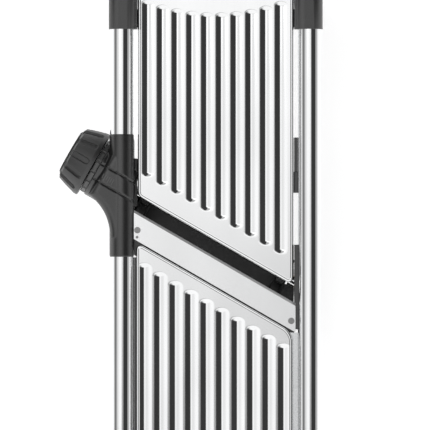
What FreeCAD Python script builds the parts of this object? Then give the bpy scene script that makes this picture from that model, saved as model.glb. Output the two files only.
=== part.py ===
import FreeCAD, Part
import math
import os
import re
import Sketcher

# A slanted-blade mandoline slicer that stands on a front foot and a folding leg.
# Design frame, millimetres: X to the right across the body, Y towards the handle, Z out of the
# cutting deck. Z = 0 is the axis of the frame tubes and (0, 0) the middle of the cutting edge.
# The knob shaft has its own frame: Z outwards to the knob, Y across the blade to the handle, X up.

DIMENSIONS = {
    "tilt": (15, "slope of the deck when it stands, degrees"),
    "slant": (30, "angle of the cutting edge and knob shaft, degrees"),
    "tube_radius": (8, "frame tubes"),
    "tube_wall": (0.8, "frame tubes"),
    "half_track": (62.6, "middle to tube axis"),
    "tube_foot_end": (-168, "lower end of both tubes"),
    "tube_handle_end": (190, "upper end of both tubes"),
    "housing_low": (0.4, "knob housing, lower end on the tube line"),
    "housing_high": (82, "knob housing, upper end on the tube line"),
    "foot_y": (-165, "middle of the front foot"),
    "foot_z": (-18, "sole of the front foot below the tube axis"),
    "blade_top": (3.5, "top face of the blade"),
    "blade_thick": (1.2, "blade strip"),
    "blade_width": (16.7, "blade strip, square to its edge"),
    "blade_left": (-54.5, "left end of the blade"),
    "blade_right": (53.1, "right end of the blade"),
    "mouth": (9.5, "cutting edge to the lip of the run-up plate"),
    "deck_drop": (3.0, "run-up plate below the blade, as set"),
    "sheet_thick": (0.8, "pressed steel plates"),
    "flange": (5, "turned-down edge of the run-up plate"),
    "plate_half": (52, "half width of the run-up plate"),
    "plate_mid": (174, "run-up plate, upper edge at the middle"),
    "plate_side": (183, "run-up plate, upper edge at the sides"),
    "run_pitch": (9.84, "groove spacing on the run-up plate"),
    "land_pitch": (10.32, "groove spacing on the landing plate"),
    "groove_shift": (-1.2, "middle of both sets of grooves"),
    "groove_half": (2.2, "half width of a groove"),
    "groove_depth": (1.1, "depth of a groove"),
    "land_top": (2.5, "top face of the landing plate"),
    "land_left": (-53, "landing plate, left edge"),
    "land_right": (51.3, "landing plate, right edge"),
    "land_gap": (17.4, "cutting edge to the landing plate"),
    "land_end": (-151.8, "landing plate, lower edge"),
    "shaft_p": (12.56, "knob shaft, distance past the cutting edge"),
    "shaft_z": (-15, "knob shaft, height"),
    "shaft_radius": (2.5, "knob shaft"),
    "cam_rest": (9.35, "cam height above the shaft, as set"),
    "cam_rate": (1.698, "rise of the cams, mm per radian"),
    "cam_left": (59.2, "left cam along the shaft"),
    "cam_right": (-44.7, "right cam along the shaft"),
    "cam_thick": (5, "cams"),
    "cam_play": (0.4, "cams to the sides of their wells"),
    "well_radius": (15.2, "wells that the cams turn in"),
    "well_wall": (1.2, "walls of the wells"),
    "knob_back": (101.6, "back rim of the knob along the shaft"),
    "knob_depth": (17.2, "knob, back rim to front face"),
    "knob_rear_radius": (22.9, "knob grip, back rim"),
    "knob_front_radius": (18.5, "knob grip, front face"),
    "grip_thick": (2.6, "soft cover of the knob"),
    "boss_radius": (20, "housing boss behind the knob"),
    "boss_end": (97.66, "end face of the boss along the shaft"),
    "ring_thick": (3.4, "index ring behind the knob"),
    "handle_top": (213, "far side of the handle"),
    "handle_low": (152, "mouth of the handle sockets"),
    "socket_radius": (8.7, "sockets over the tubes"),
    "grip_half": (44, "half width of the soft grip"),
    "post_x": (47.5, "guide posts"),
    "post_rear_y": (160, "guide posts by the handle"),
    "post_right_y": (50, "guide post by the right tube"),
    "post_left_y": (60, "guide post by the knob housing"),
    "post_radius": (2, "guide posts"),
    "guide_play": (0.05, "radial play of the sliding and turning fits"),
    "guide_top": (-11.5, "guide sleeves, upper end"),
    "guide_long": (8, "guide sleeves"),
    "pivot_y": (178, "leg pivot"),
    "pivot_z": (-17, "leg pivot"),
    "leg_radius": (4.5, "leg tube"),
    "leg_wall": (1, "leg tube"),
    "leg_bend": (14, "bend of the leg tube, at its axis"),
    "sole_drop": (6.4, "leg foot, axis to sole"),
    "rear_foot_radius": (7, "leg foot"),
}

doc = FreeCAD.newDocument("mandoline_slicer")
sheet = doc.addObject("Spreadsheet::Sheet", "dims")
for row, (alias, (value, note)) in enumerate(DIMENSIONS.items(), start=1):
    sheet.set(f"A{row}", alias)
    sheet.set(f"B{row}", str(value))
    sheet.setAlias(f"B{row}", alias)
    sheet.set(f"C{row}", note)
doc.recompute()

Vector = FreeCAD.Vector
WORD = re.compile(r"[a-z]+(?:_[a-z]+)+|tilt|slant|mouth|flange")
parts = []


def full(expression):
    """An expression with every dimension's name pointed at the sheet."""
    return WORD.sub(lambda found: "dims." + found.group(), str(expression))


def val(expression):
    return float(sheet.evalExpression(full(expression)))


# Lines that follow the slant, as expressions of X or of the two directions of the shaft frame.
TAN = "tan(slant * 1deg)"
SIN = "sin(slant * 1deg)"
COS = "cos(slant * 1deg)"


def across(p, x):
    """Y on the line that runs beside the cutting edge at distance p, at x."""
    return f"(({p}) / {COS} - ({x}) * {TAN})"


ORIGIN_Y = "-(foot_y * cos(tilt * 1deg) - foot_z * sin(tilt * 1deg))"
ORIGIN_Z = "-(foot_y * sin(tilt * 1deg) + foot_z * cos(tilt * 1deg))"
STAND = (
    f"create(<<placement>>; create(<<vector>>; 0; {ORIGIN_Y}; {ORIGIN_Z});"
    " create(<<rotation>>; create(<<vector>>; 1; 0; 0); tilt))"
)

slant = math.radians(val("slant"))
shaft_axis = Vector(-math.cos(slant), math.sin(slant), 0)
shaft_across = Vector(math.sin(slant), math.cos(slant), 0)
shaft_turn = FreeCAD.Rotation(Vector(0, 0, 1), shaft_across, shaft_axis, "XYZ")
shaft_base = shaft_across * val("shaft_p") + Vector(0, 0, val("shaft_z"))
SHAFT = FreeCAD.Placement(shaft_base, shaft_turn)


def finish(node, label, on_shaft=False):
    """Give a sub-part its name and stand it on its feet."""
    node.Label = label
    if on_shaft:
        doc.recompute()
        stand = FreeCAD.Placement(
            Vector(0, val(ORIGIN_Y), val(ORIGIN_Z)),
            FreeCAD.Rotation(Vector(1, 0, 0), val("tilt")),
        )
        node.Placement = stand.multiply(SHAFT)
    else:
        node.setExpression("Placement", full(STAND))
    parts.append(node)
    return node


def place(shape, at, turn=None):
    """Put a primitive at three expressions, turned by a fixed rotation."""
    shape.Placement = FreeCAD.Placement(Vector(*[val(part) for part in at]), turn or FreeCAD.Rotation())
    for axis, part in zip("xyz", at):
        shape.setExpression(f"Placement.Base.{axis}", full(part))
    return shape


ALONG_X = FreeCAD.Rotation(Vector(0, 1, 0), 90)
ALONG_Y = FreeCAD.Rotation(Vector(1, 0, 0), -90)
ALONG_Z = FreeCAD.Rotation()


def rod(radius, length, at, turn=ALONG_Z):
    """A cylinder from a point, along one axis."""
    shape = doc.addObject("Part::Cylinder", "rod")
    shape.setExpression("Radius", full(radius))
    shape.setExpression("Height", full(length))
    return place(shape, at, turn)


def shaft_rod(radius, start, length, up="0", over="0"):
    """A cylinder in design space that runs along the knob shaft."""
    shape = doc.addObject("Part::Cylinder", "shaft_rod")
    shape.setExpression("Radius", full(radius))
    shape.setExpression("Height", full(length))
    local = FreeCAD.Placement(Vector(val(up), val(over), val(start)), FreeCAD.Rotation())
    shape.Placement = SHAFT.multiply(local)
    return shape


def block(size, at):
    shape = doc.addObject("Part::Box", "block")
    for name, part in zip(("Length", "Width", "Height"), size):
        shape.setExpression(name, full(part))
    return place(shape, at)


def span(x, y, z):
    """A box between pairs of expressions."""
    size = [f"({high}) - ({low})" for low, high in (x, y, z)]
    return block(size, (x[0], y[0], z[0]))


def shaft_block(up, over, along):
    """A box in the shaft frame, between pairs of expressions."""
    box = doc.addObject("Part::Box", "shaft_block")
    low = []
    for name, (start, stop) in zip(("Length", "Width", "Height"), (up, over, along)):
        box.setExpression(name, full(f"({stop}) - ({start})"))
        low.append(val(start))
    box.Placement = SHAFT.multiply(FreeCAD.Placement(Vector(*low), FreeCAD.Rotation()))
    return box


def cone(rear, front, length, at):
    shape = doc.addObject("Part::Cone", "cone")
    shape.setExpression("Radius1", full(rear))
    shape.setExpression("Radius2", full(front))
    shape.setExpression("Height", full(length))
    return place(shape, at)


def fuse(*shapes):
    joined = doc.addObject("Part::MultiFuse", "fuse")
    joined.Shapes = list(shapes)
    joined.Refine = True
    return joined


def cut(base, *tools):
    result = doc.addObject("Part::Cut", "cut")
    result.Base = base
    result.Tool = tools[0] if len(tools) == 1 else fuse(*tools)
    return result


def common(base, tool):
    """The part of a shape that lies inside another."""
    kept = doc.addObject("Part::Common", "common")
    kept.Base = base
    kept.Tool = tool
    return kept


def pipe(radius, bore, length, at, turn=ALONG_Z):
    return cut(rod(radius, length, at, turn), rod(bore, length, at, turn))


def group(*shapes):
    together = doc.addObject("Part::Compound", "group")
    together.Links = list(shapes)
    return together


def new_body(name):
    return doc.addObject("PartDesign::Body", name)


def sketch(body, role="XY_Plane", lift="0"):
    """A sketch on one of the body's own planes, lifted along the plane's normal."""
    plane = next(item for item in body.Origin.OriginFeatures if item.Role == role)
    drawing = body.newObject("Sketcher::SketchObject", "sketch")
    drawing.AttachmentSupport = [(plane, "")]
    drawing.MapMode = "FlatFace"
    drawing.setExpression("AttachmentOffset.Base.z", full(lift))
    return drawing


def pin_point(drawing, edge, end, x, y):
    for kind, part in (("DistanceX", x), ("DistanceY", y)):
        index = drawing.addConstraint(Sketcher.Constraint(kind, -1, 1, edge, end, val(part)))
        drawing.setExpression(f"Constraints[{index}]", full(part))


def outline(drawing, corners, arcs=None):
    """A closed outline through corner expressions. arcs: edge number -> (radius, side)."""
    arcs = arcs or {}
    points = [Vector(val(x), val(y), 0) for x, y in corners]
    count = len(points)
    first = drawing.GeometryCount
    ends = []
    for number, start in enumerate(points):
        stop = points[(number + 1) % count]
        if number in arcs:
            radius, side = val(arcs[number][0]), arcs[number][1]
            half = (stop - start).Length / 2
            sagitta = radius - math.sqrt(radius ** 2 - half ** 2)
            normal = Vector(start.y - stop.y, stop.x - start.x, 0).normalize()
            middle = (start + stop) / 2 + normal * sagitta * side
            drawing.addGeometry(Part.Arc(start, middle, stop), False)
        else:
            drawing.addGeometry(Part.LineSegment(start, stop), False)
        edge = first + number
        begins = (drawing.getPoint(edge, 1) - start).Length < 1e-6
        ends.append((1, 2) if begins else (2, 1))
    for number in range(count):
        after = (number + 1) % count
        joint = ("Coincident", first + number, ends[number][1], first + after, ends[after][0])
        drawing.addConstraint(Sketcher.Constraint(*joint))
        pin_point(drawing, first + number, ends[number][0], *corners[number])
    for number, (radius, _) in arcs.items():
        index = drawing.addConstraint(Sketcher.Constraint("Radius", first + number, val(radius)))
        drawing.setExpression(f"Constraints[{index}]", full(radius))
    return drawing


def circle(drawing, x, y, radius):
    shape = Part.Circle(Vector(val(x), val(y), 0), Vector(0, 0, 1), val(radius))
    edge = drawing.addGeometry(shape, False)
    pin_point(drawing, edge, 3, x, y)
    index = drawing.addConstraint(Sketcher.Constraint("Radius", edge, val(radius)))
    drawing.setExpression(f"Constraints[{index}]", full(radius))
    return drawing


def slot(drawing, x, low, high, half):
    """A round-ended slot along Y."""
    corners = ((f"({x}) - ({half})", low), (f"({x}) + ({half})", low),
               (f"({x}) + ({half})", high), (f"({x}) - ({half})", high))
    near = f"({half}) * 1.001"
    outline(drawing, corners, {0: (near, -1), 2: (near, -1)})


def pad(body, drawing, length, middle=False, back=False):
    feature = body.newObject("PartDesign::Pad", "pad")
    feature.Profile = drawing
    feature.setExpression("Length", full(length))
    feature.Midplane = middle
    feature.Reversed = back
    doc.recompute()
    return feature


def pocket(body, drawing, length, back=False, middle=False):
    """A pocket that is checked to remove material."""
    before = body.Shape.Volume
    feature = body.newObject("PartDesign::Pocket", "pocket")
    feature.Profile = drawing
    feature.setExpression("Length", full(length))
    feature.Reversed = back
    feature.Midplane = middle
    doc.recompute()
    assert feature.Shape.Volume < before - 1e-3, f"{body.Name}: a pocket cut nothing"
    return feature


def round_edges(body, radius, wanted):
    """Fillet the edges of the body for which wanted(edge) is true."""
    base = body.Tip
    names = [f"Edge{i}" for i, edge in enumerate(base.Shape.Edges, start=1) if wanted(edge)]
    feature = body.newObject("PartDesign::Fillet", "fillet")
    feature.Base = (base, names)
    feature.setExpression("Radius", full(radius))
    doc.recompute()
    return feature


def upright(edge, x, y):
    """True for a straight edge along Z at x, y."""
    ends = [vertex.Point for vertex in edge.Vertexes]
    if len(ends) != 2:
        return False
    off = [math.hypot(end.x - x, end.y - y) for end in ends]
    return max(off) < 0.01 and abs(ends[0].z - ends[1].z) > 0.01


# Frame tubes

def frame_tube(label, x, low, high, *holes):
    base = rod("tube_radius", f"({high}) - ({low})", (x, low, "0"), ALONG_Y)
    bore = rod("tube_radius - tube_wall", f"({high}) - ({low})", (x, low, "0"), ALONG_Y)
    finish(cut(base, bore, *holes), label)


SCREW_Y = ("-8", "-34")
BRACKET_INNER = "plate_half + 0.4"


def side_screw(radius, length, x, y, z="-3"):
    return rod(radius, length, (x, y, z), ALONG_X)


frame_tube("left_tube_upper", "-half_track", "housing_high", "tube_handle_end")
frame_tube("left_tube_lower", "-half_track", "tube_foot_end", "housing_low")
frame_tube("right_tube", "half_track", "tube_foot_end", "tube_handle_end",
           *[side_screw("1.5", "8", BRACKET_INNER, y) for y in SCREW_Y])

# Handle: one moulding with two sockets, ears for the leg and sleeves for two guide posts

HANDLE_INNER = "plate_half + 0.5"
EAR_OUTER = "half_track - 5.1"


def handle_outline(drawing):
    side = "half_track + socket_radius"
    corners = (
        (f"-({side})", "handle_low"), (f"-({HANDLE_INNER})", "handle_low"),
        (f"-({HANDLE_INNER})", "plate_side + 4"), (HANDLE_INNER, "plate_side + 4"),
        (HANDLE_INNER, "handle_low"), (side, "handle_low"),
        (side, "handle_top - 22"), (f"{side} - 20", "handle_top - 2"),
        (f"-({side}) + 20", "handle_top - 2"), (f"-({side})", "handle_top - 22"),
    )
    arcs = {2: ("158", -1), 6: ("20.01", -1), 7: ("650", -1), 8: ("20.01", -1)}
    return outline(drawing, corners, arcs)


handle = new_body("handle_solid")
pad(handle, handle_outline(sketch(handle)), "2 * socket_radius", middle=True)
rim = val("handle_low") + 0.5
round_edges(handle, "6.5", lambda edge: edge.BoundBox.ZLength < 0.01 and edge.BoundBox.YMax > rim)
sockets = sketch(handle, "XZ_Plane", "-tube_handle_end")
circle(sockets, "-half_track", "0", "tube_radius")
circle(sockets, "half_track", "0", "tube_radius")
pocket(handle, sockets, "tube_handle_end - handle_low", back=True)
grip_core = span(("-grip_half", "grip_half"), ("handle_top - 24", "handle_top - 13"), ("-4", "4"))
grip_zone = span(("-grip_half", "grip_half"), ("handle_low", "handle_top + 10"), ("-20", "20"))
finish(cut(common(handle, grip_zone), grip_core), "handle_grip")


def handle_ear(side):
    """The ear that carries the leg on one side, with its stop and the sleeve of a guide post."""
    inner, outer = sorted((f"{side} * ({HANDLE_INNER})", f"{side} * ({EAR_OUTER})"), key=val)
    stop = sorted((f"{side} * ({HANDLE_INNER})", f"{side} * (half_track + 3)"), key=val)
    sleeve = sorted((f"{side} * (post_x - 4)", f"{side} * ({HANDLE_INNER} + 1)"), key=val)
    ear = span((inner, outer), ("handle_low + 1", "pivot_y + 9"), ("pivot_z - 7", "-5"))
    heel = span((inner, outer), ("pivot_y + 4.8", "pivot_y + 9"), ("pivot_z - 14", "-5"))
    catch = span(stop, ("pivot_y + 6.2", "pivot_y + 9"), ("pivot_z - 14", "pivot_z - 8"))
    low, high = "guide_top - guide_long", "guide_top"
    guide = span(sleeve, ("post_rear_y - 6", "post_rear_y + 6"), (low, high))
    return [ear, heel, catch, guide]


handle_arms = cut(handle, grip_zone)
bores = [rod("post_radius + guide_play", "guide_long", (x, "post_rear_y", "guide_top - guide_long"))
         for x in ("-post_x", "post_x")]
pivot_holes = [rod("2", "12", (x, "pivot_y", "pivot_z"), ALONG_X)
               for x in (f"-({EAR_OUTER}) - 1", f"{HANDLE_INNER} - 1")]
tube_room = [rod("tube_radius", "tube_handle_end - handle_low", (x, "handle_low", "0"), ALONG_Y)
             for x in ("-half_track", "half_track")]
handle_all = fuse(handle_arms, grip_core, *handle_ear(-1), *handle_ear(1))
finish(cut(handle_all, *bores, *pivot_holes, *tube_room), "handle_bridge")

# Lower end: a moulding across both tubes, with a rubber foot

end_bridge = new_body("end_bridge_solid")
end_side = "half_track + socket_radius"
pad(end_bridge, outline(sketch(end_bridge, lift="-socket_radius"), (
    (f"-({end_side})", "-140"), ("-54.7", "-140"), ("-54.7", "land_end - 0.4"),
    ("54.7", "land_end - 0.4"), ("54.7", "-140"), (end_side, "-140"),
    (end_side, "-178"), (f"-({end_side})", "-178"))), "2 * socket_radius")
corner = val(end_side)
round_edges(end_bridge, "11", lambda edge: upright(edge, corner, -178) or upright(edge, -corner, -178))
round_edges(end_bridge, "4", lambda edge: edge.BoundBox.ZLength < 0.01
            and edge.BoundBox.YMin < -166.5)
end_sockets = sketch(end_bridge, "XZ_Plane", "140")
circle(end_sockets, "-half_track", "0", "tube_radius")
circle(end_sockets, "half_track", "0", "tube_radius")
pocket(end_bridge, end_sockets, "-140 - tube_foot_end", back=True)
top_trim = span(("-54.6", "54.6"), ("-171", "-150"), ("land_top", "12"))
finish(cut(end_bridge, top_trim), "lower_end_bridge")

foot = new_body("front_foot_solid")
SOLE = "foot_z - (({}) - foot_y) * tan(tilt * 1deg)"
pad(foot, outline(sketch(foot, "YZ_Plane"), (
    ("foot_y - 8", "-socket_radius"), ("foot_y - 8", SOLE.format("foot_y - 8")),
    ("foot_y + 8", SOLE.format("foot_y + 8")), ("foot_y + 8", "-socket_radius"))),
    "90", middle=True)
finish(foot, "front_foot")

# Pressed plates: a tray with turned-down edges and ten round-ended grooves

def tray(label, corners, arcs, inner, top, depth, grooves):
    """A plate pressed from sheet. corners and inner are the outside and inside of its edges."""
    body = new_body(label + "_solid")
    pad(body, outline(sketch(body, lift=f"{top} - {depth}"), corners, arcs), depth)
    pocket(body, outline(sketch(body, lift=f"{top} - sheet_thick"), inner, arcs),
           f"{depth} - sheet_thick")
    under = sketch(body, lift=f"{top} - sheet_thick - groove_depth")
    for x, low, high in grooves:
        slot(under, x, low, high, "groove_half + 0.5")
    pad(body, under, "groove_depth")
    upper = sketch(body, lift=top)
    for x, low, high in grooves:
        slot(upper, x, low, high, "groove_half")
    pocket(body, upper, "groove_depth")
    return finish(body, label)


DECK = "(blade_top - deck_drop)"
groove_numbers = [number - 4.5 for number in range(10)]
run_grooves = []
land_grooves = []
for number in groove_numbers:
    x = f"({number} * run_pitch + groove_shift)"
    run_grooves.append((x, f"({across('24.5', x)} + groove_half)",
                        f"(plate_mid - 16 + ({x}) * ({x}) / 270)"))
    x = f"({number} * land_pitch + groove_shift)"
    land_grooves.append((x, "land_end + 10", f"{across('-31.5', x)}"))


def slanted_tray(left, right, low_p, far_left, far_right, thick="0"):
    """Corners of a plate whose near edge follows the slant, moved inwards by thick."""
    left_x = f"({left} + {thick})"
    right_x = f"({right} - {thick})"
    return ((left_x, across(low_p, left_x)), (right_x, across(low_p, right_x)),
            (right_x, far_right), (left_x, far_left))


tray("run_up_plate",
     slanted_tray("-plate_half", "plate_half", "mouth", "plate_side", "plate_side"),
     {2: ("154.7", 1)},
     slanted_tray("-plate_half", "plate_half", "mouth + sheet_thick",
                  "plate_side - sheet_thick", "plate_side - sheet_thick", "sheet_thick"),
     DECK, "flange", run_grooves)


def landing_corners(thick):
    left_x = f"(land_left + {thick})"
    right_x = f"(land_right - {thick})"
    edge = f"-(land_gap + {thick})"
    return ((left_x, f"land_end + {thick}"), (right_x, f"land_end + {thick}"),
            (right_x, f"{across(edge, right_x)} - 4"),
            (f"{right_x} - 6", across(edge, f"({right_x} - 6)")), (left_x, across(edge, left_x)))


tray("landing_plate", landing_corners("0"), None, landing_corners("sheet_thick"),
     "land_top", "4", land_grooves)

# Blade, its carrier and rivets

def slanted_bar(body, left, right, near, far, low, high):
    drawing = sketch(body, lift=low)
    outline(drawing, ((left, across(far, left)), (right, across(far, right)),
                      (right, across(near, right)), (left, across(near, left))))
    return pad(body, drawing, f"({high}) - ({low})")


def shaft_prism(body, corners, start, length):
    """A bar along the knob shaft, from corners given as (across, up) in the shaft frame."""
    drawing = sketch(body, lift=start)
    outline(drawing, [(up, f"({over}) - shaft_p") for over, up in corners])
    return pad(body, drawing, length)


RIVETS = (("-52.2", "18.1", "1.6"), ("-52.4", "13.4", "0.7"), ("50.3", "-42.3", "1.6"))


def rivet_holes(body, low, high):
    drawing = sketch(body, lift=high)
    for x, y, radius in RIVETS:
        circle(drawing, x, y, radius)
    pocket(body, drawing, f"({high}) - ({low})")


BLADE_LOW = "(blade_top - blade_thick)"
CARRIER_RIGHT = "(plate_half + 0.4)"
blade = new_body("blade_solid")
blade_section = [("0", BLADE_LOW), ("-blade_width", BLADE_LOW),
                 ("-blade_width", "blade_top"), ("-1.5", "blade_top"), ("0", f"{BLADE_LOW} + 0.1")]
shaft_prism(blade, [(over, f"{up} - shaft_z") for over, up in blade_section], "-75", "150")
blade.Placement = SHAFT
blade_strip = common(blade, span(("blade_left", "blade_right"), ("-80", "80"), ("-10", "10")))
rivet_rooms = [rod(radius, "10", (x, y, "-3")) for x, y, radius in RIVETS]
finish(cut(blade_strip, *rivet_rooms), "main_blade")

carrier = new_body("carrier_solid")
slanted_bar(carrier, "-half_track + tube_radius", CARRIER_RIGHT, "-3", "-16.9", "-3", BLADE_LOW)
slanted_bar(carrier, "-half_track + tube_radius", CARRIER_RIGHT, "-3", "-26", "-6", "-4.2")
slanted_bar(carrier, "-half_track + tube_radius", CARRIER_RIGHT, "-3", "-16.9", "-4.2", "-3")
rivet_holes(carrier, "-3", BLADE_LOW)
finish(carrier, "blade_carrier")

rivets = [fuse(rod(radius, "blade_top + 3.4", (x, y, "-3")),
               rod(f"{radius} * 1.35", "0.4", (x, y, "blade_top")))
          for x, y, radius in RIVETS]
finish(group(*rivets), "blade_rivets")

# Rails that carry the sides of the landing plate

def rail(label, low_y, high_y, outer, edge, shelf):
    """An angle section along Y: a thin upright beside the plate and a shelf under its flange."""
    body = new_body(label + "_solid")
    drawing = sketch(body, "XZ_Plane", f"-({high_y})")
    outline(drawing, ((outer, "-4"), (shelf, "-4"), (shelf, "-1.6"), (edge, "-1.6"),
                      (edge, "1.4"), (outer, "1.4")))
    pad(body, drawing, f"({high_y}) - ({low_y})")
    finish(body, label)


rail("landing_rail_left", "land_end - 0.3", "0", "-54.5", "-53.2", "-49.5")
rail("landing_rail_right", "land_end - 0.3", "-50.2", "54.5", "51.6", "48.5")

# Right end of the blade and shaft: a bracket screwed to the tube

lobe = shaft_rod("6.4", "-62", "12")
lobe_keep = span((BRACKET_INNER, "60"), ("-60", "20"), ("-30", "-8.2"))
upper = span((BRACKET_INNER, "57"), ("-48", "8.4"), ("-10.5", BLADE_LOW))
web = span((BRACKET_INNER, "57"), ("-26", "-8"), ("-17", "-8"))
right_tube_room = rod("tube_radius", "120", ("half_track", "-70", "0"), ALONG_Y)
seat_bore = shaft_rod("4.2", "-62", "14")
screw_rooms = [side_screw("1.5", "8", BRACKET_INNER, y) for y in SCREW_Y]
head_rooms = [side_screw("2.8", "1.4", BRACKET_INNER, y) for y in SCREW_Y]
cam_room = shaft_rod("15", "-47.6", "6")
bracket = fuse(common(lobe, lobe_keep), upper, web)
finish(cut(bracket, right_tube_room, seat_bore, cam_room, *screw_rooms, *head_rooms),
       "right_end_bracket")
finish(group(*[fuse(side_screw("1.5", "8", BRACKET_INNER, y),
                    side_screw("2.8", "1.4", BRACKET_INNER, y)) for y in SCREW_Y]),
       "bracket_screws")
bush_zone = span((BRACKET_INNER, "59.8"), ("-60", "20"), ("-30", "-8"))
bush_bar = cut(shaft_rod("4.2", "-62", "14"), shaft_rod("shaft_radius + guide_play", "-62", "14"))
finish(common(bush_bar, bush_zone), "right_bush")

# Guide for the right post: a saddle under the tube with a sleeve, and a web in the gap above it

saddle = span((BRACKET_INNER, "half_track + 6"), ("44", "80"), ("-13", "-4"))
gap_web = span((BRACKET_INNER, "56.2"), ("43", "57"), ("-13", "-3"))
sleeve = span(("post_x - 4", "56.2"), ("post_right_y - 7", "post_right_y + 7"),
              ("guide_top - guide_long", "guide_top"))
guide_tube_room = rod("tube_radius", "50", ("half_track", "40", "0"), ALONG_Y)
guide_bore = rod("post_radius + guide_play", "guide_long",
                 ("post_x", "post_right_y", "guide_top - guide_long"))
finish(cut(fuse(saddle, gap_web, sleeve), guide_tube_room, guide_bore), "right_guide_bracket")

# Guard under the mouth: it turns the slices away from the shaft, and the cams turn in its wells

guard = new_body("guard_solid")
guard_section = (("8.8", "3.6"), ("-6", "-11.6"), ("-6", "-14.2"), ("9.6", "1.8"), ("9.6", "3.6"))
shaft_prism(guard, guard_section, "-70", "145")
guard.Placement = SHAFT
well_shells = []
well_rooms = []
for cam in ("cam_left", "cam_right"):
    room_low = f"({cam} - cam_thick / 2 - cam_play)"
    room_long = "(cam_thick + 2 * cam_play)"
    well_shells.append(shaft_rod("well_radius + well_wall", f"{room_low} - well_wall",
                                 f"{room_long} + 2 * well_wall"))
    well_rooms.append(shaft_rod("well_radius", room_low, room_long))
well_half = shaft_block(("-20", "3.4"), ("-20", "9.6 - shaft_p"), ("-80", "80"))
wells = common(fuse(*well_shells), well_half)
clip_room = shaft_rod("5.4", "-50", "3.4")
guard_and_wells = cut(fuse(guard, wells), *well_rooms, clip_room)
between_walls = span(("-half_track + tube_radius + 0.1", f"{BRACKET_INNER} - 0.1"),
                     ("-60", "60"), ("-50", "0"))
finish(common(guard_and_wells, between_walls), "chute_guard")

# Knob housing: it joins the two left tubes and holds the shaft

housing = new_body("housing_solid")
END = "(boss_end - 3)"
low_p, high_p = "(shaft_p - boss_radius + 1.2)", "(shaft_p + boss_radius - 1.2)"


def shaft_plan(p, along):
    """Plan position of a point given across the blade and along the shaft."""
    return (f"(({p}) * {SIN} - ({along}) * {COS})", f"(({p}) * {COS} + ({along}) * {SIN})")


inner_x = "(-half_track + tube_radius)"
pad(housing, outline(sketch(housing, lift="-33"), (
    shaft_plan(low_p, END), ("-70.6", "12.9"), ("-64", "4"), (inner_x, "4"),
    (inner_x, "housing_high - 3"), ("-64", "housing_high - 3"), shaft_plan(high_p, END)),
    {0: ("33", 1)}), "40.6")
round_edges(housing, "5", lambda edge: edge.BoundBox.ZLength < 0.01
            and edge.BoundBox.XMin < val(inner_x) - 0.5)
tube_sleeve = rod("tube_radius + 0.3", "housing_high - housing_low",
                  ("-half_track", "housing_low", "0"), ALONG_Y)
boss = shaft_rod("boss_radius", "78", "boss_end - 78")
spigots = [rod("tube_radius - tube_wall - 0.03", "14", ("-half_track", y, "0"), ALONG_Y)
           for y in ("housing_high", "housing_low - 14")]
lug = span((f"{inner_x} - 1", "-post_x + 4.5"), ("post_left_y - 6", "post_left_y + 6"),
           ("guide_top - guide_long", "guide_top"))
inner_trim = span((inner_x, "0"), ("-20", "100"), ("-60", "20"))
body_all = cut(fuse(housing, tube_sleeve, boss), inner_trim)
gap_wall = span((f"{inner_x} - 1", "-plate_half - 0.4"), ("34", "66"), ("-11.3", "-3"))


COVER_SCREWS = (("-13.5", "74"), ("13.5", "74"), ("13.5", "90"), ("-13.5", "90"))


def cover_screw(radius, low, high, over, along):
    """A cylinder along Z at a place given in the shaft frame."""
    x, y = shaft_plan(f"shaft_p + ({over})", along)
    return rod(radius, f"({high}) - ({low})", (x, y, f"shaft_z + ({low})"))


housing_tools = [shaft_block(("-30", "13"), ("-10.5", "10.5"), ("71.5", "89.5")),
                 shaft_block(("-30", "-15.4"), ("-16.5", "16.5"), ("71", "93")),
                 shaft_rod("shaft_radius + 0.3", "60", "40"),
                 shaft_rod("4.2", "boss_end - 7", "8"),
                 shaft_rod("2.1", "boss_end - 7", "8", up="13"),
                 rod("post_radius + guide_play", "guide_long",
                     ("-post_x", "post_left_y", "guide_top - guide_long"))]
housing_tools += [shaft_block(("21.6", "26"), (over, f"{over} + 0.8"), ("62", "96"))
                  for over in ("-7.8", "3.3")]
housing_tools += [cover_screw("1.2", "-16", "-7", over, along) for over, along in COVER_SCREWS]
finish(cut(fuse(body_all, *spigots, lug, gap_wall), *housing_tools), "knob_housing")

cover_plate = shaft_block(("-17.9", "-15.4"), ("-16.4", "16.4"), ("71.1", "92.9"))
finish(cut(cover_plate, *[cover_screw("1.3", "-20", "-15", over, along) for over, along in COVER_SCREWS]),
       "housing_cover")
finish(group(*[fuse(cover_screw("1.2", "-18.2", "-8", over, along),
                    cover_screw("2.4", "-19.4", "-17.9", over, along))
               for over, along in COVER_SCREWS]), "cover_screws")

left_bush = cut(shaft_rod("4.2", "boss_end - 7", "7"),
                shaft_rod("shaft_radius + guide_play", "boss_end - 7", "7"))
finish(left_bush, "left_bush")
ring_body = cone("boss_radius - 0.6", "boss_radius - 0.9", "ring_thick", ("0", "0", "boss_end"))
ring_bore = rod("shaft_radius + 0.3", "ring_thick", ("0", "0", "boss_end"))
ring_hole = rod("2.1", "ring_thick", ("13", "0", "boss_end"))
finish(cut(ring_body, ring_bore, ring_hole), "index_ring", on_shaft=True)
finish(pipe("1.9", "1.4", "8.2", ("13", "0", "boss_end - 7")), "detent_spring", on_shaft=True)
ball = doc.addObject("Part::Sphere", "ball")
ball.Radius = 1.95
place(ball, ("13", "0", "knob_back - 2.15"))
ball_keep = rod("2", "4", ("13", "0", "boss_end + 1.3"))
finish(common(ball, ball_keep), "detent_ball", on_shaft=True)

# Knob, shaft and cams

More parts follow.
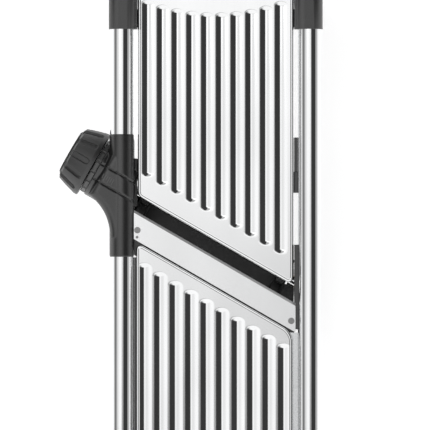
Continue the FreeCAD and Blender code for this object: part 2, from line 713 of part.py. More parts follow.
FACE = "knob_back + knob_depth"
core_rear = "knob_rear_radius - grip_thick"
core_front = "knob_front_radius - grip_thick"
core = cone(core_rear, core_front, "knob_depth", ("0", "0", "knob_back"))
shaft_room = rod("shaft_radius", "knob_depth", ("0", "0", "knob_back"))
dimples = [rod("1.6", "0.4", (f"13 * cos({turn} * 22.5deg)", f"13 * sin({turn} * 22.5deg)", "knob_back"))
           for turn in range(16)]
front_room = pipe("13", "6", "9", ("0", "0", f"{FACE} - 9"))
finish(cut(core, shaft_room, front_room, *dimples), "knob_core", on_shaft=True)

grip = new_body("knob_grip_solid")
grip_drawing = sketch(grip, "XZ_Plane")
GRIP_FRONT = f"({FACE} - 0.4)"
core_at_front = f"({core_front} + ({core_rear} - ({core_front})) * 0.4 / knob_depth)"
outline(grip_drawing, ((core_rear, "knob_back"), ("knob_rear_radius", "knob_back"),
                       ("knob_rear_radius", "knob_back + 2.5"),
                       ("knob_front_radius", GRIP_FRONT), (core_at_front, GRIP_FRONT)))
grip_turned = grip.newObject("PartDesign::Revolution", "grip_turned")
grip_turned.Profile = grip_drawing
grip_turned.ReferenceAxis = (grip_drawing, ["V_Axis"])
grip_turned.Angle = 360
doc.recompute()
flute_drawing = sketch(grip, "XY_Plane", FACE)
circle(flute_drawing, "knob_rear_radius - 0.9", "0", "1.5")
flute = pocket(grip, flute_drawing, "knob_depth - 3.4")
flutes = grip.newObject("PartDesign::PolarPattern", "flutes")
flutes.Originals = [flute]
flutes.Axis = (next(item for item in grip.Origin.OriginFeatures if item.Role == "Z_Axis"), [""])
flutes.Angle = 360
flutes.Occurrences = 12
grip.Tip = flutes
doc.recompute()
finish(grip, "knob_grip", on_shaft=True)

cap_plate = cone(core_front, f"{core_front} - 1.4", "1", ("0", "0", FACE))
cap_skirt = pipe("12.9", "11.5", "3", ("0", "0", f"{FACE} - 3"))
cap_screw_room = rod("2.6", "3", ("0", "0", FACE))
finish(cut(fuse(cap_plate, cap_skirt), cap_screw_room), "knob_cap", on_shaft=True)
knob_screw_head = rod("2.5", "0.8", ("0", "0", FACE))
knob_screw_shank = rod("1.25", "10", ("0", "0", f"{FACE} - 10"))
finish(fuse(knob_screw_head, knob_screw_shank), "knob_screw", on_shaft=True)

shaft_main = rod("shaft_radius", f"{FACE} + 61.5", ("0", "0", "-61.5"))
shaft_thread = rod("1.25", "10", ("0", "0", f"{FACE} - 10"))
pin_rooms = [rod("0.75", "20", ("-10", "0", along), ALONG_X) for along in ("cam_left", "cam_right")]
finish(cut(shaft_main, shaft_thread, *pin_rooms), "cam_shaft", on_shaft=True)


def snail_cam(label, along):
    """A cam whose height above the shaft grows evenly as the knob turns."""
    rest, rate = val("cam_rest"), val("cam_rate")
    low, high = math.radians(-168.7), math.radians(101.2)
    points = []
    for step in range(25):
        turn = low + (high - low) * step / 24
        height = rest + rate * turn
        up = Vector(math.cos(turn), math.sin(turn), 0)
        over = Vector(-math.sin(turn), math.cos(turn), 0)
        points.append(up * height + over * rate)
    curve = Part.BSplineCurve()
    curve.interpolate(points)
    closing = Part.LineSegment(points[-1], points[0])
    wire = Part.Wire([curve.toShape(), closing.toShape()])
    thick = val("cam_thick")
    solid = Part.Face(wire).extrude(Vector(0, 0, thick))
    solid.translate(Vector(0, 0, val(along) - thick / 2))
    bore = Part.makeCylinder(val("shaft_radius"), thick, Vector(0, 0, val(along) - thick / 2))
    pin_bore = Part.makeCylinder(0.75, 20, Vector(-10, 0, val(along)), Vector(1, 0, 0))
    node = doc.addObject("Part::Feature", label)
    node.Shape = solid.cut(bore).cut(pin_bore)
    finish(node, label, on_shaft=True)


snail_cam("left_cam", "cam_left")
snail_cam("right_cam", "cam_right")
finish(group(*[rod("0.75", "7", ("-3.5", "0", along), ALONG_X) for along in ("cam_left", "cam_right")]),
       "cam_pins", on_shaft=True)
finish(pipe("4.6", "shaft_radius", "0.8", ("0", "0", "-48.9")), "shaft_clip", on_shaft=True)

# Platform under the run-up plate: beams, follower pads and guide posts

beam_top, beam_low = f"({DECK} - sheet_thick - groove_depth - 0.1)", f"({DECK} - 4.2)"
beams = new_body("platform_solid")
edge_x = "(plate_half - 1)"
inside_x = "(post_x - 4)"
pad(beams, outline(sketch(beams, lift=beam_low), (
    (f"-{edge_x}", across("mouth + 1.1", f"-{edge_x}")), (edge_x, across("mouth + 1.1", edge_x)),
    (edge_x, "plate_mid - 4"), (f"-{edge_x}", "plate_mid - 4"))), f"{beam_top} - {beam_low}")
pocket(beams, outline(sketch(beams, lift=beam_top), (
    (f"-{inside_x}", across("20", f"-{inside_x}")), (inside_x, across("20", inside_x)),
    (inside_x, "plate_mid - 12"), (f"-{inside_x}", "plate_mid - 12"))), f"{beam_top} - {beam_low}")
POSTS = (("-post_x", "post_rear_y"), ("post_x", "post_rear_y"),
         ("-post_x", "post_left_y"), ("post_x", "post_right_y"))
follower = f"{DECK} - 6 - shaft_z"
pads = [shaft_block((follower, f"{beam_low} - shaft_z + 0.5"), ("-1.9", "6.5"),
                    (f"{along} - 3.2", f"{along} + 3.2")) for along in ("cam_left", "cam_right")]
post_rooms = [rod("post_radius", "10", (x, y, "-8")) for x, y in POSTS]
finish(cut(fuse(beams, *pads), *post_rooms), "platform_frame")
finish(group(*[fuse(rod("post_radius", f"{beam_top} + 22.5", (x, y, "-22.5")),
                    rod("post_radius + 1.2", "1.2", (x, y, f"{beam_low} - 1.2")))
               for x, y in POSTS]), "guide_posts")

# Folding leg: a bent tube, plastic knuckles, pins and rubber feet

LEG = ("(((pivot_y - foot_y) * sin(tilt * 1deg) + (pivot_z - foot_z) * cos(tilt * 1deg)"
       " - sole_drop) / cos(tilt * 1deg))")
leg = new_body("leg_solid")
path = leg.newObject("Sketcher::SketchObject", "leg_path")
path_plane = next(item for item in leg.Origin.OriginFeatures if item.Role == "XZ_Plane")
path.AttachmentSupport = [(path_plane, "")]
path.MapMode = "FlatFace"
path.setExpression("AttachmentOffset.Base.z", full("-pivot_y"))
top_z, low_z = val("pivot_z - 6"), val(f"pivot_z - {LEG}")
wide, bend = val("half_track"), val("leg_bend")
turn_in = bend * (1 - math.sqrt(0.5))
path.addGeometry(Part.LineSegment(Vector(-wide, top_z, 0), Vector(-wide, low_z + bend, 0)), False)
path.addGeometry(Part.Arc(Vector(-wide, low_z + bend, 0), Vector(-wide + turn_in, low_z + turn_in, 0),
                          Vector(-wide + bend, low_z, 0)), False)
path.addGeometry(Part.LineSegment(Vector(-wide + bend, low_z, 0), Vector(wide - bend, low_z, 0)), False)
path.addGeometry(Part.Arc(Vector(wide - bend, low_z, 0), Vector(wide - turn_in, low_z + turn_in, 0),
                          Vector(wide, low_z + bend, 0)), False)
path.addGeometry(Part.LineSegment(Vector(wide, low_z + bend, 0), Vector(wide, top_z, 0)), False)
section = sketch(leg, "XY_Plane", "pivot_z - 6")
circle(section, "-half_track", "pivot_y", "leg_radius")
circle(section, "-half_track", "pivot_y", "leg_radius - leg_wall")
sweep = leg.newObject("PartDesign::AdditivePipe", "leg_sweep")
sweep.Profile = section
sweep.Spine = (path, [])
doc.recompute()
finish(leg, "leg_tube")

SOLE_Z = f"(pivot_z - {LEG})"
for side, word in ((-1, "left"), (1, "right")):
    low_x = f"{side} * half_track - 4.6"
    knuckle = fuse(rod("7", "9.2", (low_x, "pivot_y", "pivot_z"), ALONG_X),
                   rod("6", "16", (f"{side} * half_track", "pivot_y", "pivot_z - 16")))
    knuckle_trim = span((f"{side} * half_track - 8", f"{side} * half_track - 4.6"),
                        ("pivot_y - 8", "pivot_y + 8"), ("pivot_z - 20", "pivot_z + 8"))
    knuckle_outer = span((f"{side} * half_track + 4.6", f"{side} * half_track + 8"),
                         ("pivot_y - 8", "pivot_y + 8"), ("pivot_z - 20", "pivot_z + 8"))
    leg_room = rod("leg_radius", "14", (f"{side} * half_track", "pivot_y", "pivot_z - 20"))
    pin_room = rod("2 + guide_play", "20", (f"{side} * half_track - 10", "pivot_y", "pivot_z"), ALONG_X)
    finish(cut(knuckle, knuckle_trim, knuckle_outer, leg_room, pin_room), f"leg_knuckle_{word}")
    pin_low, pin_high = sorted((f"{side} * ({HANDLE_INNER})", f"{side} * (half_track + 5)"), key=val)
    finish(fuse(rod("2", f"({pin_high}) - ({pin_low})", (pin_low, "pivot_y", "pivot_z"), ALONG_X),
                rod("3.4", "1.2", (f"{side} * (half_track + 5.4) - 0.6", "pivot_y", "pivot_z"), ALONG_X)),
           f"leg_pin_{word}")
    foot_low = f"{side} * 38 - 9"
    rubber = rod("rear_foot_radius", "18", (foot_low, "pivot_y", SOLE_Z), ALONG_X)
    rubber_room = rod("leg_radius", "18", (foot_low, "pivot_y", SOLE_Z), ALONG_X)
    sole_cut = doc.addObject("Part::Box", "sole_cut")
    sole_cut.Length = 30
    sole_cut.Width = 40
    sole_cut.Height = 20
    sole_base = Vector(val(f"{side} * 38 - 15"), val("pivot_y"), val(SOLE_Z))
    level = FreeCAD.Placement(sole_base, FreeCAD.Rotation(Vector(1, 0, 0), -val("tilt")))
    below = FreeCAD.Placement(Vector(0, -20, -val("sole_drop") - 20), FreeCAD.Rotation())
    sole_cut.Placement = level.multiply(below)
    finish(cut(rubber, rubber_room, sole_cut), f"rear_foot_{word}")

# Check every object and write the files

doc.recompute()
failed = [f"{item.Label} ({item.Name})" for item in doc.Objects
          if any(word in item.State for word in ("Invalid", "Error"))]
if failed:
    raise RuntimeError("failed objects: " + ", ".join(failed))
os.makedirs("parts", exist_ok=True)
for item in parts:
    shape = item.Shape
    if shape.isNull() or not shape.isValid() or not shape.Solids:
        raise RuntimeError(f"{item.Label} has no valid solid")
    shape.exportStep(f"parts/{item.Label}.step")
    box = shape.BoundBox
    print(f"{item.Label:22s} solids {len(shape.Solids)} volume {shape.Volume:9.1f}"
          f"  X {box.XMin:7.1f} {box.XMax:7.1f}  Y {box.YMin:7.1f} {box.YMax:7.1f}"
          f"  Z {box.ZMin:7.1f} {box.ZMax:7.1f}")
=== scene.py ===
"""Looks of the mandoline slicer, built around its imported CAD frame."""
import math

import bpy
import numpy as np
from mathutils import Matrix, Vector


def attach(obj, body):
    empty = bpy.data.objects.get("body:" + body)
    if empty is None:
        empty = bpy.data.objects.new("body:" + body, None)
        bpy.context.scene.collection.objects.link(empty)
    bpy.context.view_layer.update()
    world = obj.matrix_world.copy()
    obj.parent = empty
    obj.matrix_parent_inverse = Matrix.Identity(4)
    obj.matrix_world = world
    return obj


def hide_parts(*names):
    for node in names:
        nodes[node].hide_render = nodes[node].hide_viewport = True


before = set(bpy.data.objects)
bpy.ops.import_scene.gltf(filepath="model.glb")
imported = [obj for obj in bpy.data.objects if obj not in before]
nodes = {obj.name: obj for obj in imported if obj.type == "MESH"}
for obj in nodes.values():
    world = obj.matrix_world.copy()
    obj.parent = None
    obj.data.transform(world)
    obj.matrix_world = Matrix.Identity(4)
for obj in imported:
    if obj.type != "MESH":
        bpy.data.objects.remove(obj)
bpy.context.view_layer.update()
scene = bpy.context.scene

# The design frame, in millimetres: u to the right, v up the deck, w out of the deck.
# w = 0 is the axis of the frame tubes and (0, 0) the middle of the cutting edge.
MM = 0.001
TILT = math.radians(15)
FOOT_V = -165
FOOT_W = -18
SLANT = math.radians(30)
SIN = math.sin(SLANT)
COS = math.cos(SLANT)
TAN = math.tan(SLANT)

DECK = (Matrix.Scale(MM, 4) @ Matrix.Rotation(TILT, 4, "X")
        @ Matrix.Translation((0, -FOOT_V, -FOOT_W)))
DECK_NORMAL = Vector((0, -math.sin(TILT), math.cos(TILT)))

# The shaft frame: x out of the deck, y across the blade towards the handle, z out to the knob.
SHAFT_P = 12.56
SHAFT_W = -15
SHAFT = DECK @ Matrix(((0, SIN, -COS, SHAFT_P * SIN),
                       (0, COS, SIN, SHAFT_P * COS),
                       (1, 0, 0, SHAFT_W),
                       (0, 0, 0, 1)))

HALF_TRACK = 62.6
TUBE_RADIUS = 8


# Meshes

def add_piece(name, points, faces, matrix, body, material, stands_for=()):
    """A smooth mesh from points in millimetres, riding on a body in place of CAD nodes."""
    mesh = bpy.data.meshes.new(name)
    mesh.from_pydata([tuple(point) for point in points], [], faces)
    mesh.transform(matrix)
    mesh.validate()
    for polygon in mesh.polygons:
        polygon.use_smooth = True
    mesh.materials.append(material)
    piece = bpy.data.objects.new(name, mesh)
    scene.collection.objects.link(piece)
    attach(piece, body)
    if stands_for:
        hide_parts(*stands_for)
    return piece


def grid_faces(rows, columns, closed=False):
    """Quads over a grid of points stored row by row. closed joins the last column to the first."""
    faces = []
    for row in range(rows - 1):
        for column in range(columns if closed else columns - 1):
            here = row * columns + column
            beside = row * columns + (column + 1) % columns
            faces.append((here, beside, beside + columns, here + columns))
    return faces


def smoothstep(low, high, value):
    """0 below low, 1 above high and a smooth rise between them."""
    share = np.clip((value - low) / (high - low), 0, 1)
    return share * share * (3 - 2 * share)


def solidify(piece, thickness):
    """Give a sheet its thickness on its inner side."""
    modifier = piece.modifiers.new("thickness", "SOLIDIFY")
    modifier.thickness = thickness * MM
    modifier.offset = -1
    modifier.use_even_offset = False


# Node materials

class Surface:
    """A procedural material: a Principled shader and short ways to add nodes before it."""

    def __init__(self, name, **inputs):
        self.material = bpy.data.materials.new(name)
        self.material.use_nodes = True
        self.nodes = self.material.node_tree.nodes
        self.links = self.material.node_tree.links
        self.shader = self.nodes["Principled BSDF"]
        for key, value in inputs.items():
            self.shader.inputs[key.replace("_", " ")].default_value = value
        self.coordinates = self.nodes.new("ShaderNodeTexCoord")

    def mapping(self, scale, turn=(0, 0, 0)):
        """Object coordinates, turned to the deck or the shaft and then stretched."""
        turned = self.nodes.new("ShaderNodeMapping")
        turned.inputs["Rotation"].default_value = turn
        self.links.new(self.coordinates.outputs["Object"], turned.inputs["Vector"])
        stretched = self.nodes.new("ShaderNodeMapping")
        stretched.inputs["Scale"].default_value = scale
        self.links.new(turned.outputs["Vector"], stretched.inputs["Vector"])
        return stretched.outputs["Vector"]

    def noise(self, vector, scale=1.0, detail=4.0, roughness=0.6):
        """A noise texture at the places that a vector gives."""
        texture = self.nodes.new("ShaderNodeTexNoise")
        texture.inputs["Scale"].default_value = scale
        texture.inputs["Detail"].default_value = detail
        texture.inputs["Roughness"].default_value = roughness
        self.links.new(vector, texture.inputs["Vector"])
        return texture.outputs["Fac"]

    def ramp(self, value, low, high, start=0.3, stop=0.7):
        """A value spread between two numbers."""
        spread = self.nodes.new("ShaderNodeMapRange")
        spread.inputs["From Min"].default_value = start
        spread.inputs["From Max"].default_value = stop
        spread.inputs["To Min"].default_value = low
        spread.inputs["To Max"].default_value = high
        self.links.new(value, spread.inputs["Value"])
        return spread.outputs["Result"]

    def tint(self, value, dark, light, start=0.3, stop=0.7):
        """A colour between two tones."""
        colours = self.nodes.new("ShaderNodeValToRGB")
        colours.color_ramp.elements[0].position = start
        colours.color_ramp.elements[1].position = stop
        colours.color_ramp.elements[0].color = (*dark, 1)
        colours.color_ramp.elements[1].color = (*light, 1)
        self.links.new(value, colours.inputs["Fac"])
        return colours.outputs["Color"]

    def bump(self, height, strength, distance):
        """Fine relief on the surface. distance is in metres."""
        relief = self.nodes.new("ShaderNodeBump")
        relief.inputs["Strength"].default_value = strength
        relief.inputs["Distance"].default_value = distance
        self.links.new(height, relief.inputs["Height"])
        self.links.new(relief.outputs["Normal"], self.shader.inputs["Normal"])

    def link(self, value, socket):
        """Feed a value into a socket of the shader."""
        self.links.new(value, self.shader.inputs[socket])


STEEL_CLOUDS = (25, 12, 25)
STEEL_SHADE = 0.93
SCRATCH_DEPTH = 0.00002
PLASTIC_CLOUDS = (60, 60, 60)
GRAIN_DEPTH = 0.00004


def steel(name, low_rough, high_rough, tone, grain, turn, relief):
    """Stainless steel with fine scratches that run along the long direction of the grain."""
    surface = Surface(name, Metallic=1.0)
    fine = surface.noise(surface.mapping(grain, turn), detail=3.0)
    broad = surface.noise(surface.mapping(STEEL_CLOUDS), detail=2.0)
    surface.link(surface.ramp(fine, low_rough, high_rough), "Roughness")
    dark = tuple(STEEL_SHADE * part for part in tone)
    surface.link(surface.tint(broad, dark, tone), "Base Color")
    surface.bump(fine, relief, SCRATCH_DEPTH)
    return surface.material


def moulded(name, dark, light, low_rough, high_rough, grain, relief, **inputs):
    """Moulded plastic or rubber with a fine eroded texture."""
    surface = Surface(name, **inputs)
    fine = surface.noise(surface.mapping((grain, grain, grain)), detail=5.0)
    broad = surface.noise(surface.mapping(PLASTIC_CLOUDS), detail=3.0)
    surface.link(surface.tint(broad, dark, light), "Base Color")
    surface.link(surface.ramp(fine, low_rough, high_rough), "Roughness")
    surface.bump(fine, relief, GRAIN_DEPTH)
    return surface.material


ON_DECK = (-TILT, 0, 0)
ON_BLADE = (-TILT, 0, SLANT)
WHITE_STEEL = (0.94, 0.945, 0.95)
GREY_STEEL = (0.8, 0.81, 0.82)
materials = {
    "tube": steel("tube_steel", 0.05, 0.1, WHITE_STEEL, (2400, 30, 2400), ON_DECK, 0.12),
    "leg": steel("leg_steel", 0.12, 0.24, GREY_STEEL, (30, 1800, 1800), (0, 0, 0), 0.15),
    "sheet": steel("sheet_steel", 0.07, 0.11, WHITE_STEEL, (900, 40, 900), ON_DECK, 0.02),
    "blade": steel("blade_steel", 0.1, 0.16, WHITE_STEEL, (1800, 40, 900), ON_BLADE, 0.05),
    "hardware": steel("hardware_steel", 0.16, 0.3, GREY_STEEL, (700, 700, 700), (0, 0, 0), 0.1),
    # The rivets' dark grey tone is painted shade: it stands in for the shade inside the rivet
    # holes.
    "rivet": steel("rivet_painted_shade", 0.25, 0.4, (0.3,) * 3, (900,) * 3, (0, 0, 0), 0.2),
    "phosphated": steel("phosphated_steel", 0.35, 0.5, (0.04,) * 3, (900,) * 3, (0, 0, 0), 0.2),
    "brass": steel("bush_brass", 0.2, 0.35, (0.75, 0.56, 0.28), (900, 900, 900), (0, 0, 0), 0.1),
    "nylon": moulded("black_nylon", (0.011,) * 3, (0.016,) * 3, 0.26, 0.36, 1600, 0.3,
                     Specular_IOR_Level=1.0),
    "gloss": moulded("black_gloss", (0.004,) * 3, (0.007,) * 3, 0.45, 0.55, 1200, 0.3,
                     Specular_IOR_Level=0.25),
    "acetal": moulded("cam_acetal", (0.02,) * 3, (0.03,) * 3, 0.35, 0.5, 900, 0.3),
    "grip": moulded("soft_grip", (0.014,) * 3, (0.02,) * 3, 0.34, 0.46, 2200, 0.4,
                    Specular_IOR_Level=0.9),
    "ring": moulded("grey_nylon", (0.1,) * 3, (0.13,) * 3, 0.25, 0.35, 1500, 0.2),
    "rubber": moulded("foot_rubber", (0.02,) * 3, (0.03,) * 3, 0.62, 0.8, 1400, 0.8),
}

# Pressed plates

SHEET = 0.8
ROLL = 1.3
RIM = 1.0
INSET = ROLL + RIM
CREASE = 0.2
# How far out and down the sheet goes across the rim, which has a fine crease round it.
RIM_PROFILE = ((0.15, 0), (0.4, CREASE), (0.5, CREASE), (0.75, 0), (RIM, 0))
# Past the rim the edge rolls over by these angles and goes down the flange, which turns in.
ROLL_TURNS = (15, 30, 45, 60, 75, 90)
FLANGE_START = 0.4
TURN_IN = 0.1
TURN_IN_RISE = 0.3
GROOVES = 10
GROOVE_SHIFT = -1.2
GROOVE_DEPTH = 1.25
VALLEY_ROUND = 0.8
END_STRETCH = 1.5
# How far from a valley's middle the columns of points stand.
COLUMN_STEPS = (0, 0.15, 0.32, 0.55, 0.85, 1.2, 1.65, 2.2, 2.9, 3.7, 4.4)
LEAST_STEP = 0.08
# Rows of points: before the grooves, over their near ends, along them, over their far ends, after.
ROW_COUNTS = (6, 26, 30, 26, 8)
BEFORE_END = 4
AFTER_END = 3
# The corner's two edges are taken from the points this many steps along and up from it.
CORNER_ALONG = 8
CORNER_UP = 4
# Points this share of a rounding's size outside its corner still take part in it.
CORNER_SLACK = -0.05


def groove_height(u, v, pitch, low_end, high_end):
    """Height of the sheet over its flat level: broad rounded ribs between narrow valleys."""
    number = np.clip(np.round((u - GROOVE_SHIFT) / pitch + GROOVES / 2 - 0.5), 0, GROOVES - 1)
    aside = u - GROOVE_SHIFT - pitch * (number - GROOVES / 2 + 0.5)
    middle = u - aside
    beyond = np.maximum(low_end(middle) - v, 0) + np.maximum(v - high_end(middle), 0)
    reach = np.sqrt(aside ** 2 + (END_STRETCH * beyond) ** 2 + VALLEY_ROUND ** 2)
    flank = np.sin(np.pi * np.minimum(reach, pitch / 2) / pitch)
    return -GROOVE_DEPTH * (1 - flank)


def plate_columns(left, right, pitch):
    """Places across the plate, closer together near the valleys."""
    places = {left, right}
    for number in range(-1, GROOVES + 1):
        middle = GROOVE_SHIFT + pitch * (number - GROOVES / 2 + 0.5)
        for step in COLUMN_STEPS + (pitch / 2,):
            places.update((round(middle - step, 4), round(middle + step, 4)))
    inside = sorted(place for place in places if left <= place <= right)
    kept = [inside[0]]
    for place in inside[1:-1]:
        if place - kept[-1] > LEAST_STEP and right - place > LEAST_STEP:
            kept.append(place)
    return np.array(kept + [right])


def plate_rows(near, low_end, high_end, far, pitch):
    """Rows from the near edge to the far edge, closer together where the grooves end."""
    bowl = pitch / 2 / END_STRETCH + BEFORE_END
    limits = (near, low_end - bowl, low_end + AFTER_END, high_end - AFTER_END, high_end + bowl, far)
    rows = []
    for start, stop, count in zip(limits, limits[1:], ROW_COUNTS):
        for step in range(count):
            rows.append(start + (stop - start) * step / count)
    return np.array(rows + [far])


def round_corner(points, corner, side, rise, setback):
    """Pull the points near a corner onto a round one. side and rise point along its two edges."""
    side = np.array(side) / np.linalg.norm(side)
    rise = np.array(rise) / np.linalg.norm(rise)
    to_edges = np.linalg.inv(np.array((side, rise)).T)
    share = (points - corner) @ to_edges.T / setback
    near = (share < 1).all(1) & (share > CORNER_SLACK).all(1)
    square = 1 - np.clip(share[near], 0, 1)
    pulled = square * np.sqrt(1 - square[:, ::-1] ** 2 / 2)
    points[near] += (square - pulled) @ np.array((side, rise)) * setback


def rim_normals(loop):
    """Outward directions of a closed outline that runs anticlockwise."""
    along = np.roll(loop, -1, 0) - np.roll(loop, 1, 0)
    outward = np.stack((along[:, 1], -along[:, 0]), 1)
    return outward / np.linalg.norm(outward, axis=1)[:, None]


def pressed_plate(name, body, sides, edges, ends, pitch, top, flange, setbacks):
    """A plate of thin sheet with pressed grooves, a rolled rim and a turned-down flange.

    sides: left and right. edges, ends: v of the plate's and the grooves' near and far ends as
    functions of u. setbacks: how far each corner's rounding starts, anticlockwise from low left.
    """
    left, right = sides[0] + INSET, sides[1] - INSET
    columns = plate_columns(left, right, pitch)
    grid = []
    for u in columns:
        rows = plate_rows(edges[0](u), ends[0](u), ends[1](u), edges[1](u), pitch)
        grid.append(np.stack((np.full(len(rows), u), rows), 1))
    grid = np.array(grid).transpose(1, 0, 2)
    count_v, count_u = grid.shape[:2]
    flat = grid.reshape(-1, 2).copy()
    height = groove_height(flat[:, 0], flat[:, 1], pitch, *ends)
    corner_places = ((0, 0), (0, -1), (-1, -1), (-1, 0))
    for (row, column), setback in zip(corner_places, setbacks):
        corner = grid[row, column]
        side = grid[row, CORNER_ALONG if column == 0 else -1 - CORNER_ALONG] - corner
        rise = grid[CORNER_UP if row == 0 else -1 - CORNER_UP, column] - corner
        round_corner(flat, corner, side, rise, setback)
    points = [np.column_stack((flat, height + top))]
    faces = grid_faces(count_v, count_u)

    index = np.arange(count_u * count_v).reshape(count_v, count_u)
    loop = np.concatenate((index[0, :-1], index[:-1, -1], index[-1, :0:-1], index[:0:-1, 0]))
    rim = flat[loop]
    outward = rim_normals(rim)
    previous = loop
    total = count_u * count_v
    drops = list(RIM_PROFILE)
    drops += [(RIM + ROLL * math.sin(turn), ROLL * (1 - math.cos(turn)))
              for turn in np.radians(ROLL_TURNS)]
    drops += [(INSET, ROLL + FLANGE_START), (INSET, flange - TURN_IN_RISE),
              (INSET - TURN_IN, flange)]
    for out, drop in drops:
        ring = rim + outward * out
        points.append(np.column_stack((ring, height[loop] + top - drop)))
        here = np.arange(total, total + len(loop))
        for a, b, c, d in zip(previous, np.roll(previous, -1), np.roll(here, -1), here):
            faces.append((int(a), int(d), int(c), int(b)))
        previous = here
        total += len(loop)
    plate = add_piece(name + "_sheet", np.concatenate(points), faces, DECK, body,
                      materials["sheet"], (name,))
    solidify(plate, SHEET)


def beside_edge(p):
    """v of the line beside the cutting edge at distance p, as a function of u."""
    return lambda u: (p - u * SIN) / COS


def slanted(v):
    """A line parallel to the cutting edge that crosses the deck's middle at v."""
    return lambda u: v - u * TAN


def bowed(v, half):
    """The plate's arched upper end: v in the deck's middle, RUN_BOW more at half to each side."""
    return lambda u: v + RUN_BOW * (u / half) ** 2


def straight(v):
    """A line square to the deck's length."""
    return lambda u: v


RUN_TOP = 0.5
RUN_HALF = 52
RUN_PITCH = 9.84
RUN_END = 174
RUN_BOW = 9
RUN_GROOVES = (30.2, 160)
RUN_LAST_GROOVE = 46.7
RUN_FLANGE = 5
RUN_CORNERS = (1.2, 2.0, 1.5, 1.5)
LAND_TOP = 2.5
LAND_PITCH = 10.32
LAND_SIDES = (-53, 51.3)
LAND_END = -151.8
LAND_GROOVES = (LAND_END + 12, -34.5)
LAND_FLANGE = 4
LAND_CORNERS = (1.5, 1.5, 5.5, 1.5)
MOUTH = 9.5
LAND_GAP = -17.4

pressed_plate(
    "run_up_plate", "platform", (-RUN_HALF, RUN_HALF),
    (beside_edge(MOUTH + INSET), bowed(RUN_END - INSET, RUN_HALF)),
    (slanted(RUN_GROOVES[0]), bowed(RUN_GROOVES[1], RUN_LAST_GROOVE)),
    RUN_PITCH, RUN_TOP, RUN_FLANGE, RUN_CORNERS)
pressed_plate(
    "landing_plate", "frame", LAND_SIDES,
    (straight(LAND_END + INSET), beside_edge(LAND_GAP - INSET)),
    (straight(LAND_GROOVES[0]), slanted(LAND_GROOVES[1])),
    LAND_PITCH, LAND_TOP, LAND_FLANGE, LAND_CORNERS)

# Knob, a soft cover with twelve long thumb slots, and the index ring behind it

KNOB_BACK = 101.6
KNOB_FACE = 118.4
REAR_RADIUS = 22.9
FRONT_RADIUS = 18.5
GRIP_THICK = 2.6
BACK_BEVEL = 0.35
FACE_SINK = 0.2
BACK_RIM = 2.5
TAPER = (0.75, 0.25)
NOSE_LONG = 1.6
NOSE_DROP = 1.4
SLOTS = 12
SLOT_HALF = 2.2
SLOT_WALL = 0.3
SLOT_DEPTH = 1.7
SLOT_FROM = 3.0
AROUND = 720
# Rings of points: over the slots' round ends, along the slots, over the nose.
GRIP_RINGS = (18, 24, 8)
ENDS_LONG = 5
GRIP_STEP = 0.3

RING_BACK = 97.66
RING_RADIUS = 19.6
RING_BORE = 2.8
RING_THICK = 3.4
RING_PLACES = (0.0, 0.25, 0.5, 1.0, 1.7, 2.4, 2.9, 3.15, 3.4)
RING_EDGE = 0.5
RING_BEVEL = 0.25
CLICKS = 16
NOTCH_DEPTH = 0.9
# Half of a notch's width in radians, at its brim and at its floor.
NOTCH_HALF = (0.055, 0.03)


def knob_radius(z):
    """Outside radius of the grip at each place along the shaft: a rim, then a slight taper."""
    share = np.clip((z - KNOB_BACK - BACK_RIM) / (KNOB_FACE - KNOB_BACK - BACK_RIM), 0, 1)
    taper = TAPER[0] * share + TAPER[1] * share ** 2
    body = REAR_RADIUS - (REAR_RADIUS - FRONT_RADIUS) * taper
    return body - NOSE_DROP * (1 - smoothstep(0, NOSE_LONG, KNOB_FACE - z)) ** 2


def closed_ring(outside, inside):
    """Points and faces of a ring-shaped body.

    outside: its outer surface as rings of points, from back to front. inside: (radius, z) of the
    rings that close it, from the back edge round to the front.
    """
    turn = np.arange(AROUND) * 2 * math.pi / AROUND
    circle = np.stack((np.cos(turn), np.sin(turn)), -1)
    rings = [outside]
    for radius, z in inside:
        ring = np.column_stack((circle * radius, np.full(AROUND, z)))
        rings.insert(0, ring[None])
    points = np.concatenate(rings)
    count = len(points)
    faces = grid_faces(count, AROUND, closed=True)
    last = (count - 1) * AROUND
    faces += [(last + i, last + (i + 1) % AROUND, (i + 1) % AROUND, i) for i in range(AROUND)]
    return points.reshape(-1, 3), faces


def knob_grip():
    """The knob's soft cover."""
    low, high = KNOB_BACK + BACK_BEVEL, KNOB_FACE
    ends, middle, nose = GRIP_RINGS
    places = np.concatenate((
        np.linspace(low, low + ENDS_LONG, ends),
        np.linspace(low + ENDS_LONG + GRIP_STEP, high - NOSE_LONG, middle),
        np.linspace(high - NOSE_LONG + GRIP_STEP, high, nose)))
    turn = np.arange(AROUND) * 2 * math.pi / AROUND
    sector = 2 * math.pi / SLOTS
    z, angle = np.meshgrid(places, turn, indexing="ij")
    radius = knob_radius(z)
    aside = ((angle + sector / 2) % sector - sector / 2) * radius
    back_end = KNOB_BACK + SLOT_FROM + SLOT_HALF
    past = np.maximum(back_end - z, 0)
    reach = np.sqrt(aside ** 2 + past ** 2)
    floor = 1 - smoothstep(SLOT_HALF - SLOT_WALL, SLOT_HALF, reach)
    radius = radius - SLOT_DEPTH * floor
    outside = np.stack((radius * np.cos(angle), radius * np.sin(angle), z), -1)
    inside = ((REAR_RADIUS - BACK_BEVEL, KNOB_BACK), (REAR_RADIUS - GRIP_THICK, KNOB_BACK),
              (FRONT_RADIUS - GRIP_THICK, KNOB_FACE - FACE_SINK))
    points, faces = closed_ring(outside, inside)
    add_piece("knob_cover", points, faces, SHAFT, "knob",
              materials["grip"], ("knob_grip",))


